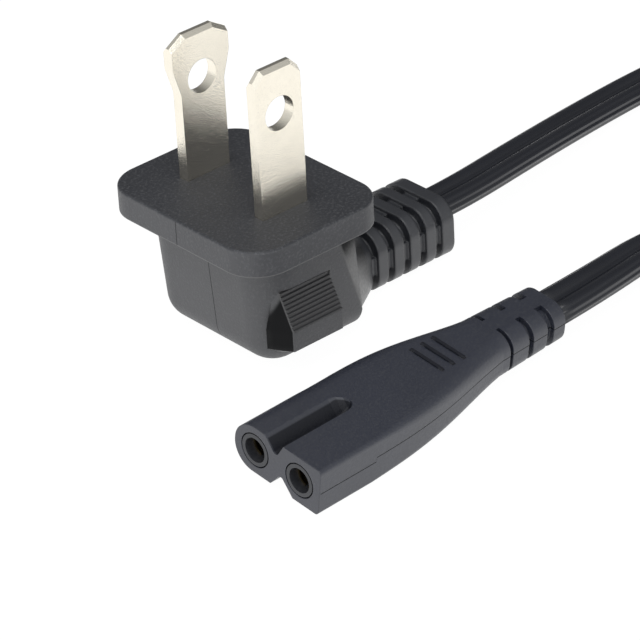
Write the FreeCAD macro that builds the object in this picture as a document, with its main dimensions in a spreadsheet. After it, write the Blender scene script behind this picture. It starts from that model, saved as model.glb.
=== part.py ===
import FreeCAD, Part
import math
import os

import Sketcher

# A right-angle type A plug on a flat two-core cord with a figure-eight connector at its far end.
# Millimetres. The origin is midway between the blades on the flange's front face, +Z points along
# the blades, +X is where the cord leaves and +Y runs from the line blade to the neutral blade.

Vector = FreeCAD.Vector

# Driving dimensions
SIZES = {
    # Blades
    "blade_pitch": 12.7,
    "blade_thickness": 1.4,
    "blade_width": 6.35,
    "neutral_stem_width": 6.05,
    "blade_length": 17.5,
    "blade_hole_diameter": 4.0,
    "blade_hole_height": 11.9,
    "tip_width": 4.15,
    "tip_cut_height": 1.15,
    "tip_bevel": 0.45,
    "head_width": 7.94,
    "head_bottom_height": 13.8,
    "stem_top_height": 10.6,
    "head_round": 2.0,
    "tail_width": 4.0,
    "barrel_radius": 1.7,
    "barrel_wall": 0.75,
    "barrel_length": 4.5,
    # Plug flange
    "flange_back": 9.6,
    "flange_front": 10.05,
    "flange_width": 25.5,
    "flange_thickness": 3.1,
    "flange_corner": 4.4,
    "flange_edge_round": 0.3,
    # Plug housing
    "housing_depth": 17.3,
    "housing_back": 6.75,
    "housing_front": 8.9,
    "housing_width": 21.6,
    "housing_corner": 4.7,
    "housing_draft": 4.0,
    "housing_edge_round": 3.3,
    "shoulder_start": 3.8,
    "shoulder_draft": 6.3,
    # Neck and strain relief of the plug
    "neck_lap": 0.1,
    "neck_top_depth": 6.8,
    "neck_top_width": 17.8,
    "neck_foot_width": 20.2,
    "neck_round": 3.6,
    "relief_start": 13.75,
    "relief_drop": 0.6,
    "relief_width": 10.0,
    "relief_height": 7.5,
    "relief_round": 2.5,
    "relief_groove": 1.05,
    "relief_rib": 1.4,
    "relief_rib_count": 4,
    "relief_groove_depth": 0.95,
    "relief_web": 2.2,
    "relief_web_depth": 0.45,
    "relief_collar": 1.75,
    # Thumb grip
    "grip_middle": -0.5,
    "grip_length": 7.0,
    "grip_top_depth": 7.3,
    "grip_ledge_depth": 11.6,
    "grip_foot_depth": 14.0,
    "grip_recess": 0.5,
    "grip_reach": 2.0,
    "grip_flare": 1.15,
    "grip_ridge_count": 10,
    "grip_ridge_height": 0.2,
    # Cord
    "cord_width": 5.2,
    "cord_thickness": 2.6,
    "core_diameter": 2.4,
    "strand_radius": 0.95,
    "core_split": 15.2,
    "cord_rise": 0.8,
    # Connector
    "pin_pitch": 6.6,
    "connector_width": 12.6,
    "connector_height": 5.7,
    "connector_round_side": 2.75,
    "connector_square_side": 0.5,
    "waist_depth": 1.9,
    "waist_round": 0.45,
    "waist_length": 9.2,
    "waist_end": 1.6,
    "waist_top_middle": 0.2,
    "waist_top_round_side": 1.8,
    "waist_top_square_side": 0.95,
    "waist_foot_middle": -0.6,
    "waist_foot_round_side": 1.4,
    "waist_foot_square_side": 1.9,
    "connector_straight": 8.0,
    "connector_taper_length": 22.5,
    "connector_relief_length": 10.0,
    "connector_relief_width": 7.0,
    "connector_relief_height": 5.4,
    "connector_relief_round": 2.0,
    "connector_end_width": 6.6,
    "connector_end_height": 5.0,
    "connector_slot": 0.5,
    "connector_slot_growth": 0.3,
    "connector_slot_count": 3,
    "connector_slot_pitch": 3.0,
    "connector_slot_start": 1.1,
    "connector_slot_depth": 0.55,
    "connector_slot_web": 2.0,
    "stroke_start": 22.0,
    "stroke_pitch": 1.65,
    "stroke_length": 4.8,
    "stroke_width": 0.4,
    "stroke_height": 0.1,
    "stroke_count": 3,
    "connector_yaw": 2.7,
    "connector_roll": 8.3,
    "connector_face_x": -20.0,
    "connector_axis_y": -27.2,
    # Connector insert and contacts
    "sleeve_radius": 1.9,
    "sleeve_bore": 1.45,
    "sleeve_gap": 0.15,
    "sleeve_gap_depth": 0.5,
    "insert_length": 13.0,
    "insert_plate": 2.0,
    "insert_plate_height": 4.2,
    "contact_setback": 1.2,
    "contact_bore": 1.2,
    "contact_bore_length": 9.0,
    "contact_end": 12.0,
    "contact_slit": 0.4,
    "contact_slit_length": 6.0,
    "crimp_radius": 1.3,
    "crimp_length": 4.5,
    "connector_core_split": 24.5,
    # Coil of the length that is put away
    "coil_centre_x": 123.0,
    "coil_centre_y": -23.4,
    "coil_radius": 27.6,
    "coil_band": 13.0,
    "coil_height": 10.8,
    "coil_round": 2.0,
    "coil_lead": 22.0,
    "coil_lead_inset": 1.1,
    "tie_width": 8.0,
    "tie_thickness": 1.1,
    "tie_sink": 0.4,
}

# Routes of the loose cord on the floor, between the straight starts at each strain relief and the
# straight ends at the coil: X, Y and the height of the cord's middle above the floor
PLUG_ROUTE = [
    (43.5, 2.2, 3.9),
    (56.5, 5.3, 2.4),
    (71.0, 7.6, 1.3),
]
CONNECTOR_ROUTE = [
    (43.0, -21.8, 2.3),
    (55.9, -25.0, 1.3),
    (66.4, -34.1, 1.3),
    (74.8, -47.1, 1.3),
]
PLUG_RUN_START = 5.2
CONNECTOR_RUN_START = 7.4
COIL_RUN_END = 14.0
ARC_SHARE = 0.45

# Share of half its thickness that rounds the flat cord's edges
EDGE_SHARE = 0.96


class Size:
    """A length of the object: its value, and the rule that works it out from the sheet."""

    def __init__(self, value, rule):
        self.value = value
        self.rule = rule

    def __add__(self, other):
        other = as_size(other)
        return Size(self.value + other.value, f"({self.rule} + {other.rule})")

    def __sub__(self, other):
        other = as_size(other)
        return Size(self.value - other.value, f"({self.rule} - {other.rule})")

    def __mul__(self, other):
        other = as_size(other)
        return Size(self.value * other.value, f"({self.rule} * {other.rule})")

    def __truediv__(self, other):
        other = as_size(other)
        return Size(self.value / other.value, f"({self.rule} / {other.rule})")

    def __neg__(self):
        return Size(-self.value, f"(-1 * {self.rule})")

    def __radd__(self, other):
        return as_size(other) + self

    def __rsub__(self, other):
        return as_size(other) - self

    def __rmul__(self, other):
        return as_size(other) * self


def as_size(number):
    if isinstance(number, Size):
        return number
    return Size(float(number), f"({float(number)})")


doc = FreeCAD.newDocument("TypeAPlug")
sheet = doc.addObject("Spreadsheet::Sheet", "Sizes")
for row, (name, value) in enumerate(SIZES.items(), start=1):
    sheet.set(f"A{row}", name)
    sheet.set(f"B{row}", str(value))
    sheet.setAlias(f"B{row}", name)
doc.recompute()


class Sheet:
    """Reads a cell of the sheet by its alias."""

    def __getattr__(self, name):
        return Size(float(sheet.get(name)), f"Sizes.{name}")


S = Sheet()


def bind(item, place, size):
    """Ties a property of an object to the sheet."""
    item.setExpression(place, as_size(size).rule)


def plane_of(body, role):
    return next(feature for feature in body.Origin.OriginFeatures if feature.Role == role)


def new_body(label):
    body = doc.addObject("PartDesign::Body", label)
    body.Label = label
    return body


def new_sketch(body, name, role, lift=0):
    """An empty sketch on a plane of the body's own origin, lifted along the plane's normal."""
    sketch = body.newObject("Sketcher::SketchObject", name)
    sketch.AttachmentSupport = [(plane_of(body, role), "")]
    sketch.MapMode = "FlatFace"
    bind(sketch, "AttachmentOffset.Base.z", lift)
    return sketch


def fix(sketch, kind, *where, size):
    """Adds a dimension to a sketch and ties it to the sheet."""
    size = as_size(size)
    index = sketch.addConstraint(Sketcher.Constraint(kind, *where, size.value))
    sketch.setExpression(f"Constraints[{index}]", size.rule)


def fix_point(sketch, shape, end, x, y):
    fix(sketch, "DistanceX", -1, 1, shape, end, size=x)
    fix(sketch, "DistanceY", -1, 1, shape, end, size=y)


def draw_loop(sketch, corners):
    """A closed outline through corners (x, y, round), where a round of None leaves a sharp corner."""
    count = len(corners)
    spots = [Vector(as_size(x).value, as_size(y).value, 0) for x, y, _ in corners]
    trims = []
    for i, (_, _, rounding) in enumerate(corners):
        before = (spots[i - 1] - spots[i]).normalize()
        after = (spots[(i + 1) % count] - spots[i]).normalize()
        if rounding is None:
            trims.append((spots[i], spots[i], None, None))
            continue
        radius = as_size(rounding).value
        half = before.getAngle(after) / 2
        reach = radius / math.tan(half)
        centre = spots[i] + (before + after).normalize() * (radius / math.sin(half))
        trims.append((spots[i] + before * reach, spots[i] + after * reach, centre, radius))
    lines = []
    for i in range(count):
        start = trims[i][1]
        end = trims[(i + 1) % count][0]
        lines.append(sketch.addGeometry(Part.LineSegment(start, end), False))
    for i, (x, y, rounding) in enumerate(corners):
        marker = sketch.addGeometry(Part.Point(spots[i]), True)
        fix_point(sketch, marker, 1, x, y)
        line_in = lines[i - 1]
        line_out = lines[i]
        if rounding is None:
            sketch.addConstraint(Sketcher.Constraint("Coincident", line_in, 2, marker, 1))
            sketch.addConstraint(Sketcher.Constraint("Coincident", line_out, 1, marker, 1))
            continue
        sketch.addConstraint(Sketcher.Constraint("PointOnObject", marker, 1, line_in))
        sketch.addConstraint(Sketcher.Constraint("PointOnObject", marker, 1, line_out))
        entry, leave, centre, radius = trims[i]
        turn_left = (entry - centre).cross(leave - centre).z > 0
        first, last = (entry, leave) if turn_left else (leave, entry)
        circle = Part.Circle(centre, Vector(0, 0, 1), radius)
        angles = [math.atan2((p - centre).y, (p - centre).x) for p in (first, last)]
        arc = sketch.addGeometry(Part.ArcOfCircle(circle, angles[0], angles[1]), False)
        arc_in, arc_out = (1, 2) if turn_left else (2, 1)
        sketch.addConstraint(Sketcher.Constraint("Tangent", line_in, 2, arc, arc_in))
        sketch.addConstraint(Sketcher.Constraint("Tangent", line_out, 1, arc, arc_out))
        fix(sketch, "Radius", arc, size=rounding)


def draw_circle(sketch, x, y, radius):
    spot = Vector(as_size(x).value, as_size(y).value, 0)
    circle = sketch.addGeometry(Part.Circle(spot, Vector(0, 0, 1), as_size(radius).value), False)
    fix(sketch, "Radius", circle, size=radius)
    fix_point(sketch, circle, 3, x, y)


def box_corners(left, right, bottom, top, rounding=None):
    return [
        (left, bottom, rounding),
        (right, bottom, rounding),
        (right, top, rounding),
        (left, top, rounding),
    ]


def loop_sketch(body, name, role, lift, corners):
    sketch = new_sketch(body, name, role, lift)
    draw_loop(sketch, corners)
    return sketch


def extrude(body, kind, name, sketch, length, reverse=False, symmetric=False):
    """A Pad or Pocket of a sketch."""
    feature = body.newObject(f"PartDesign::{kind}", name)
    feature.Profile = sketch
    feature.SideType = "Symmetric" if symmetric else "One side"
    bind(feature, "Length", length)
    feature.Reversed = reverse
    doc.recompute()
    return feature


def pad(body, name, sketch, length, reverse=False, symmetric=False):
    return extrude(body, "Pad", name, sketch, length, reverse, symmetric)


def pocket(body, name, sketch, length, reverse=False, symmetric=False):
    before = body.Shape.Volume
    feature = extrude(body, "Pocket", name, sketch, length, reverse, symmetric)
    if body.Shape.Volume > before - 1e-4:
        raise RuntimeError(f"{name} cuts nothing")
    return feature


def mirror(body, name, originals, role):
    feature = body.newObject("PartDesign::Mirrored", name)
    feature.Originals = originals
    feature.MirrorPlane = (plane_of(body, role), [""])
    body.Tip = feature
    doc.recompute()
    return feature


def row_of(body, name, originals, role, pitch, count, reverse=False):
    """Copies of features along an axis of the body."""
    feature = body.newObject("PartDesign::LinearPattern", name)
    feature.Originals = originals
    feature.Direction = (plane_of(body, role), [""])
    feature.Mode = "Spacing"
    bind(feature, "Offset", pitch)
    bind(feature, "Occurrences", count)
    feature.Reversed = reverse
    body.Tip = feature
    doc.recompute()
    return feature


def edges_where(shape, test):
    return [f"Edge{i}" for i, edge in enumerate(shape.Edges, start=1) if test(edge)]


def ease(body, kind, name, place, size, test):
    """A Fillet or Chamfer on the edges of the body's tip that pass a test."""
    tip = body.Tip
    edges = edges_where(tip.Shape, test)
    feature = body.newObject(f"PartDesign::{kind}", name)
    feature.Base = (tip, edges)
    bind(feature, place, size)
    doc.recompute()
    return feature


def lies_at(edge, axis, value):
    """True for an edge that lies all along one value of an axis."""
    box = edge.BoundBox
    low = getattr(box, f"{axis}Min")
    high = getattr(box, f"{axis}Max")
    return abs(low - value) < 1e-4 and abs(high - value) < 1e-4


def loft(body, name, sketches, ruled, cuts=False):
    kind = "SubtractiveLoft" if cuts else "AdditiveLoft"
    feature = body.newObject(f"PartDesign::{kind}", name)
    feature.Profile = sketches[0]
    feature.Sections = sketches[1:]
    feature.Ruled = ruled
    doc.recompute()
    return feature


def place(item, x, y, z, yaw=0, roll=0):
    """Moves a piece, turned by yaw about the upright and by roll about its own length."""
    base = "; ".join(as_size(size).rule for size in (x, y, z))
    turn = f"{as_size(yaw).rule}; 0; {as_size(roll).rule}"
    rule = f"create(<<placement>>; create(<<vector>>; {base}); create(<<rotation>>; {turn}))"
    item.setExpression("Placement", rule)
    doc.recompute()


def carve(label, solid, pieces):
    """The moulding with the room that the pieces inside it take up."""
    inside = doc.addObject("Part::Compound", f"inside_{label}")
    inside.Links = pieces
    moulding = doc.addObject("Part::Cut", label)
    moulding.Base = solid
    moulding.Tool = inside
    moulding.Label = label
    doc.recompute()
    return moulding


# Levels and places that several pieces share
floor = -S.housing_depth - S.relief_drop
relief_middle = floor + S.relief_height / 2
cord_level = relief_middle + S.cord_rise
relief_end = S.relief_start + (S.relief_rib_count + 1) * S.relief_groove
relief_end = relief_end + S.relief_rib_count * S.relief_rib + S.relief_collar
barrel_offset = S.barrel_radius - S.blade_thickness / 2
barrel_end = S.tail_width / 2 + S.barrel_length
roll_sine = math.sin(math.radians(S.connector_roll.value))
roll_cosine = math.cos(math.radians(S.connector_roll.value))
connector_level = floor + S.connector_square_side
connector_level = connector_level + (S.connector_width / 2 - S.connector_square_side) * roll_sine
connector_level = connector_level + (S.connector_height / 2 - S.connector_square_side) * roll_cosine
taper_end = S.connector_straight + S.connector_taper_length
connector_end = taper_end + S.connector_relief_length
contact_crimp_end = S.contact_end + S.crimp_length
housing_slope = math.tan(math.radians(S.housing_draft.value))
lead_offset = S.coil_radius + S.coil_band / 2 - S.coil_lead_inset - S.cord_width / 2


def make_blade(label, side, stem_width, head_width):
    """A blade with its tip, hole, tail and crimp barrel, drawn at the middle and moved to its side."""
    body = new_body(label)
    half = stem_width / 2
    half_head = head_width / 2
    shoulder = S.blade_length - S.tip_cut_height
    corners = [(half, -S.flange_thickness, None)]
    if head_width.value > stem_width.value:
        corners.append((half, S.stem_top_height, S.head_round))
        corners.append((half_head, S.head_bottom_height, S.head_round))
    corners.append((half_head, shoulder, None))
    corners.append((S.tip_width / 2, S.blade_length, None))
    corners += [(-x, y, r) for x, y, r in reversed(corners)]
    face = loop_sketch(body, f"{label}_outline", "XZ_Plane", 0, corners)
    pad(body, f"{label}_blank", face, S.blade_thickness, symmetric=True)
    tip_start = shoulder.value - 1e-3
    half_thick = S.blade_thickness.value / 2

    def on_tip(edge):
        box = edge.BoundBox
        flat = abs(abs(box.YMin) - half_thick) < 1e-4 and abs(box.YMax - box.YMin) < 1e-4
        return flat and box.ZMin > tip_start

    ease(body, "Chamfer", f"{label}_tip", "Size", S.tip_bevel, on_tip)
    hole = new_sketch(body, f"{label}_hole_outline", "XZ_Plane")
    draw_circle(hole, 0, S.blade_hole_height, S.blade_hole_diameter / 2)
    pocket(body, f"{label}_hole", hole, S.blade_thickness * 2, symmetric=True)
    half_tail = S.tail_width / 2
    tail_end = cord_level - S.barrel_radius
    strip = box_corners(-half_tail, half_tail, tail_end, -S.flange_thickness)
    tail = loop_sketch(body, f"{label}_tail_outline", "XZ_Plane", 0, strip)
    pad(body, f"{label}_tail", tail, S.blade_thickness, symmetric=True)
    middle = -side * barrel_offset
    barrel = new_sketch(body, f"{label}_barrel_outline", "YZ_Plane", half_tail)
    draw_circle(barrel, middle, cord_level, S.barrel_radius)
    pad(body, f"{label}_barrel", barrel, S.barrel_length)
    bore = new_sketch(body, f"{label}_bore_outline", "YZ_Plane", barrel_end)
    draw_circle(bore, middle, cord_level, S.barrel_radius - S.barrel_wall)
    pocket(body, f"{label}_bore", bore, S.barrel_length)
    place(body, 0, side * S.blade_pitch / 2, 0)
    return body


def make_cord_end(label, split, spread, core_end, outer_end, level):
    """A cord's end inside a moulding: the flat cord, then its two cores drawn apart."""
    body = new_body(label)
    half_wide = S.cord_width / 2
    half_thick = S.cord_thickness / 2
    corners = box_corners(
        -half_wide, half_wide, level - half_thick, level + half_thick, half_thick * EDGE_SHARE
    )
    flat = loop_sketch(body, f"{label}_flat_outline", "YZ_Plane", split, corners)
    pad(body, f"{label}_flat", flat, outer_end - split)
    add_core(body, f"{label}_line_core", split, core_end, -spread, -1, level)
    add_core(body, f"{label}_neutral_core", split, core_end, spread, 1, level)
    return body


def add_core(body, name, split, core_end, spread, side, level):
    """One insulated core, from its side of the flat cord out to its crimp."""
    near = side * (S.cord_width - S.core_diameter) / 2
    bend_out = split - S.core_diameter * 0.3
    bend_in = core_end + S.core_diameter * 0.5
    path = new_sketch(body, f"{name}_path", "XY_Plane", level)
    stops = [(split, near), (bend_out, near), (bend_in, spread), (core_end, spread)]
    spots = [Vector(as_size(x).value, as_size(y).value, 0) for x, y in stops]
    lines = []
    for start, end in zip(spots, spots[1:]):
        lines.append(path.addGeometry(Part.LineSegment(start, end), False))
    for line, (x, y) in zip(lines, stops):
        fix_point(path, line, 1, x, y)
    fix_point(path, lines[-1], 2, *stops[-1])
    for first, second in zip(lines, lines[1:]):
        path.addConstraint(Sketcher.Constraint("Coincident", first, 2, second, 1))
    ring = new_sketch(body, f"{name}_outline", "YZ_Plane", split)
    draw_circle(ring, near, level, S.core_diameter / 2)
    core = body.newObject("PartDesign::AdditivePipe", name)
    core.Profile = ring
    core.Spine = (path, [])
    core.Transition = "Round corner"
    doc.recompute()


def make_strands(label, start, end, y, level):
    """The bare copper of one core, from the end of its insulation to the foot of its crimp."""
    body = new_body(label)
    outline = new_sketch(body, f"{label}_outline", "YZ_Plane", start)
    draw_circle(outline, y, level, S.strand_radius)
    pad(body, f"{label}_bundle", outline, end - start)
    return body


def make_plug_solid():
    """The plug's moulding before the metal and the cord take their room in it."""
    body = new_body("plug_solid")
    half_wide = S.housing_width / 2
    housing = loop_sketch(body, "housing_outline", "XY_Plane", 0, [
        (-S.housing_back, -half_wide, S.housing_corner),
        (S.housing_front, -half_wide, None),
        (S.housing_front, half_wide, None),
        (-S.housing_back, half_wide, S.housing_corner),
    ])
    block = pad(body, "housing", housing, S.housing_depth, reverse=True)
    bind(block, "TaperAngle", -S.housing_draft)
    doc.recompute()
    front = block.Shape.BoundBox.XMax - 2 * S.housing_depth.value * housing_slope
    foot = -S.housing_depth.value

    def on_foot(edge):
        return lies_at(edge, "Z", foot) and edge.BoundBox.XMin < front

    ease(body, "Fillet", "housing_foot", "Radius", S.housing_edge_round, on_foot)
    cut_shoulders(body)

    half_flange = S.flange_width / 2
    plate = box_corners(-S.flange_back, S.flange_front, -half_flange, half_flange, S.flange_corner)
    flange = loop_sketch(body, "flange_outline", "XY_Plane", 0, plate)
    pad(body, "flange", flange, S.flange_thickness, reverse=True)

    def on_front_rim(edge):
        return lies_at(edge, "Z", 0)

    ease(body, "Fillet", "flange_rim", "Radius", S.flange_edge_round, on_front_rim)
    add_neck(body)
    add_relief(body)
    add_grip(body)
    return body


def wall_at(depth):
    """How far the housing's side stands from the middle at a depth below the mating face."""
    return S.housing_width / 2 - depth * housing_slope


def cut_shoulders(body):
    """Slanting facets that take the housing's front corners in towards the strain relief."""
    wall = wall_at(S.flange_thickness)
    run = S.relief_start - S.shoulder_start
    inward = wall - S.relief_width / 2
    outer = -wall - inward
    corner = loop_sketch(body, "shoulder_outline", "XY_Plane", -S.flange_thickness, [
        (S.shoulder_start - run, outer, None),
        (S.relief_start, outer, None),
        (S.relief_start, -S.relief_width / 2, None),
    ])
    cut = pocket(body, "shoulder", corner, S.housing_depth - S.flange_thickness)
    bind(cut, "TaperAngle", -S.shoulder_draft)
    doc.recompute()
    mirror(body, "shoulder_pair", [cut], "XZ_Plane")


def relief_section(inset):
    half_wide = S.relief_width / 2 - inset
    half_tall = S.relief_height / 2 - inset
    return box_corners(
        -half_wide, half_wide, relief_middle - half_tall, relief_middle + half_tall, S.relief_round - inset / 2
    )


def add_neck(body):
    """The tapering shoulder from the housing to the strain relief."""
    half_top = S.neck_top_width / 2
    half_foot = S.neck_foot_width / 2
    foot = -S.housing_depth
    lift = S.housing_front - S.housing_depth * housing_slope - S.neck_lap
    start = loop_sketch(body, "neck_start", "YZ_Plane", lift, [
        (-half_foot, foot, S.neck_round),
        (half_foot, foot, S.neck_round),
        (half_top, -S.neck_top_depth, S.neck_round),
        (-half_top, -S.neck_top_depth, S.neck_round),
    ])
    end = loop_sketch(body, "neck_end", "YZ_Plane", S.relief_start, relief_section(0))
    loft(body, "neck", [start, end], ruled=True)


def add_relief(body):
    """The grooved strain relief: a core, ribs, an end collar and webs across the grooves."""
    length = relief_end - S.relief_start
    core = loop_sketch(body, "relief_core_outline", "YZ_Plane", S.relief_start, relief_section(S.relief_groove_depth))
    pad(body, "relief_core", core, length)
    side_web = S.relief_width / 2 - S.relief_web_depth
    top_web = S.relief_height / 2 - S.relief_web_depth
    half_web = S.relief_web / 2
    across = box_corners(-side_web, side_web, relief_middle - half_web, relief_middle + half_web)
    upright = box_corners(-half_web, half_web, relief_middle - top_web, relief_middle + top_web)
    for name, corners in (("relief_side_webs", across), ("relief_top_webs", upright)):
        sketch = loop_sketch(body, f"{name}_outline", "YZ_Plane", S.relief_start, corners)
        pad(body, name, sketch, length)
    rib_start = S.relief_start + S.relief_groove
    rib = loop_sketch(body, "relief_rib_outline", "YZ_Plane", rib_start, relief_section(0))
    first = pad(body, "relief_rib_first", rib, S.relief_rib)
    row_of(body, "relief_ribs", [first], "X_Axis", S.relief_groove + S.relief_rib, S.relief_rib_count)
    collar = loop_sketch(body, "relief_collar_outline", "YZ_Plane", relief_end - S.relief_collar, relief_section(0))
    pad(body, "relief_collar", collar, S.relief_collar)


def add_grip(body):
    """The thumb grip: a ribbed ramp that starts in a recess, with flared flanks and a plain ledge."""
    ramp_start = wall_at(S.grip_top_depth) - S.grip_recess
    ledge = wall_at(S.grip_ledge_depth) + S.grip_reach
    foot_end = S.grip_foot_depth + S.grip_reach / 2
    inner = wall_at(foot_end) - S.grip_recess
    recess = loop_sketch(body, "grip_recess_outline", "YZ_Plane", S.grip_middle, [
        (-ramp_start, -S.grip_top_depth, None),
        (-ledge, -S.grip_ledge_depth, None),
        (-ledge, -S.grip_top_depth, None),
    ])
    pocket(body, "grip_recess", recess, S.grip_length, symmetric=True)
    sink = S.grip_ridge_height / 4
    sections = []
    for i, (depth, outer) in enumerate((
        (S.grip_top_depth, ramp_start),
        (S.grip_ledge_depth, ledge),
        (S.grip_foot_depth, ledge),
        (foot_end, inner + S.grip_recess / 2),
    )):
        half = S.grip_length / 2
        spread = (outer - inner) * S.grip_flare / S.grip_reach
        face = -outer + sink
        sections.append(loop_sketch(body, f"grip_flank_outline_{i}", "XY_Plane", -depth, [
            (S.grip_middle - half - spread, -inner, None),
            (S.grip_middle - half, face, None),
            (S.grip_middle + half, face, None),
            (S.grip_middle + half + spread, -inner, None),
        ]))
    loft(body, "grip_flanks", sections, ruled=True)
    corners = [
        (-inner, -S.grip_top_depth, None),
        (-ramp_start, -S.grip_top_depth, None),
    ]
    steps = SIZES["grip_ridge_count"]
    rise = S.grip_ledge_depth - S.grip_top_depth
    reach = ledge - ramp_start
    for ridge in range(steps):
        for along, raised in ((0.3, 0), (0.45, 1), (0.7, 1), (0.85, 0)):
            share = (ridge + along) / steps
            y = ramp_start + reach * share + S.grip_ridge_height * raised
            corners.append((-y, -S.grip_top_depth - rise * share, None))
    corners += [
        (-ledge, -S.grip_ledge_depth, None),
        (-ledge, -S.grip_foot_depth, None),
        (-inner, -foot_end, None),
    ]
    wedge = loop_sketch(body, "grip_outline", "YZ_Plane", S.grip_middle, corners)
    pad(body, "grip", wedge, S.grip_length, symmetric=True)


def connector_outline(left, right, half_tall, left_round, right_round):
    """A section of the connector, seen from its cord towards its face."""
    return [
        (left, -half_tall, left_round),
        (right, -half_tall, right_round),
        (right, half_tall, right_round),
        (left, half_tall, left_round),
    ]


def make_connector_solid():
    """The connector's moulding before the insert, contacts and cord take their room in it."""
    body = new_body("connector_solid")
    half_wide = S.connector_width / 2
    half_tall = S.connector_height / 2
    nose_corners = connector_outline(
        -half_wide, half_wide, half_tall, S.connector_square_side, S.connector_round_side
    )
    nose = loop_sketch(body, "nose_outline", "YZ_Plane", 0, nose_corners)
    pad(body, "nose", nose, S.connector_straight)
    add_taper(body, half_wide, half_tall)
    add_connector_relief(body)
    add_strokes(body, half_tall)
    add_waist(
        body, "waist_top", half_tall, 1,
        S.waist_top_middle, S.waist_top_round_side, S.waist_top_square_side,
    )
    add_waist(
        body, "waist_foot", half_tall, -1,
        S.waist_foot_middle, S.waist_foot_round_side, S.waist_foot_square_side,
    )
    for name, radius, depth in (
        ("pin_holes", S.sleeve_bore, S.insert_length),
        ("sleeve_gaps", S.sleeve_radius + S.sleeve_gap, S.sleeve_gap_depth),
    ):
        holes = new_sketch(body, f"{name}_outline", "YZ_Plane")
        for side in (-1, 1):
            draw_circle(holes, side * S.pin_pitch / 2, 0, radius)
        pocket(body, name, holes, depth, reverse=True)
    return body


def relief_outline(width, height):
    """A section of the connector's strain relief."""
    return box_corners(-width / 2, width / 2, -height / 2, height / 2, S.connector_relief_round)


def add_taper(body, half_wide, half_tall):
    """The shoulders that draw in to the strain relief, a little earlier on the square side."""
    end_wide = S.connector_relief_width / 2
    end_tall = S.connector_relief_height / 2
    sections = []
    for i, (along, square_share, round_share, tall_share) in enumerate((
        (0, 0, 0, 0),
        (0.25, 0.06, 0.03, 0.04),
        (0.5, 0.27, 0.15, 0.22),
        (0.75, 0.64, 0.54, 0.6),
        (1, 1, 1, 1),
    )):
        left = half_wide + (end_wide - half_wide) * square_share
        right = half_wide + (end_wide - half_wide) * round_share
        tall = half_tall + (end_tall - half_tall) * tall_share
        square = S.connector_square_side + (S.connector_relief_round - S.connector_square_side) * along
        rounded = S.connector_round_side + (S.connector_relief_round - S.connector_round_side) * along
        corners = connector_outline(-left, right, tall, square, rounded)
        lift = S.connector_straight + S.connector_taper_length * along
        sections.append(loop_sketch(body, f"taper_outline_{i}", "YZ_Plane", lift, corners))
    loft(body, "taper", sections, ruled=False)


def add_connector_relief(body):
    """The connector's strain relief, with slots that wrap each side and a web along the middle."""
    root = relief_outline(S.connector_relief_width, S.connector_relief_height)
    end = relief_outline(S.connector_end_width, S.connector_end_height)
    loft(body, "connector_relief", [
        loop_sketch(body, "connector_relief_root", "YZ_Plane", taper_end, root),
        loop_sketch(body, "connector_relief_end", "YZ_Plane", connector_end, end),
    ], ruled=True)
    half_web = S.connector_slot_web / 2
    core_wide = S.connector_end_width / 2 - S.connector_slot_depth
    core_tall = S.connector_end_height / 2 - S.connector_slot_depth
    core_round = S.connector_relief_round - S.connector_slot_depth / 2
    for i in range(SIZES["connector_slot_count"]):
        lift = taper_end + S.connector_slot_start + S.connector_slot_pitch * i
        width = S.connector_slot + S.connector_slot_growth * i
        for side, name in ((-1, "square"), (1, "round")):
            wrap = loop_sketch(body, f"slot_{name}_outline_{i}", "YZ_Plane", lift, [
                (side * half_web, S.connector_relief_height, None),
                (side * half_web, core_tall, None),
                (side * core_wide, core_tall, core_round),
                (side * core_wide, -core_tall, core_round),
                (side * half_web, -core_tall, None),
                (side * half_web, -S.connector_relief_height, None),
                (side * S.connector_relief_width, -S.connector_relief_height, None),
                (side * S.connector_relief_width, S.connector_relief_height, None),
            ])
            pocket(body, f"slot_{name}_{i}", wrap, width, reverse=True)


def add_strokes(body, half_tall):
    """Three raised strokes across the top, for the thumb."""
    half_wide = S.stroke_width / 2
    half_long = S.stroke_length / 2
    corners = box_corners(
        S.stroke_start - half_wide, S.stroke_start + half_wide, -half_long, half_long, half_wide * 0.9
    )
    sketch = loop_sketch(body, "stroke_outline", "XY_Plane", 0, corners)
    first = pad(body, "stroke_first", sketch, half_tall + S.stroke_height)
    row_of(body, "strokes", [first], "X_Axis", S.stroke_pitch, S.stroke_count)


def add_waist(body, name, half_tall, side, middle, round_side, square_side):
    """One V groove of the figure eight, with a rounded bottom and a rounded inner end."""
    over = S.waist_depth / 4
    top = side * (half_tall + over)
    sections = []
    for i, (along, share) in enumerate(((None, 1), (0, 1), (0.5, 0.87), (0.85, 0.53), (1, 0.15))):
        lift = as_size(0) if along is None else S.waist_length + S.waist_end * along
        bottom = side * (half_tall - S.waist_depth * share)
        right = middle + round_side * share + round_side * over / S.waist_depth
        left = middle - square_side * share - square_side * over / S.waist_depth
        sections.append(loop_sketch(body, f"{name}_outline_{i}", "YZ_Plane", lift, [
            (middle, bottom, S.waist_round * share),
            (right, top, None),
            (left, top, None),
        ]))
    loft(body, name, sections, ruled=True, cuts=True)


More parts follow.
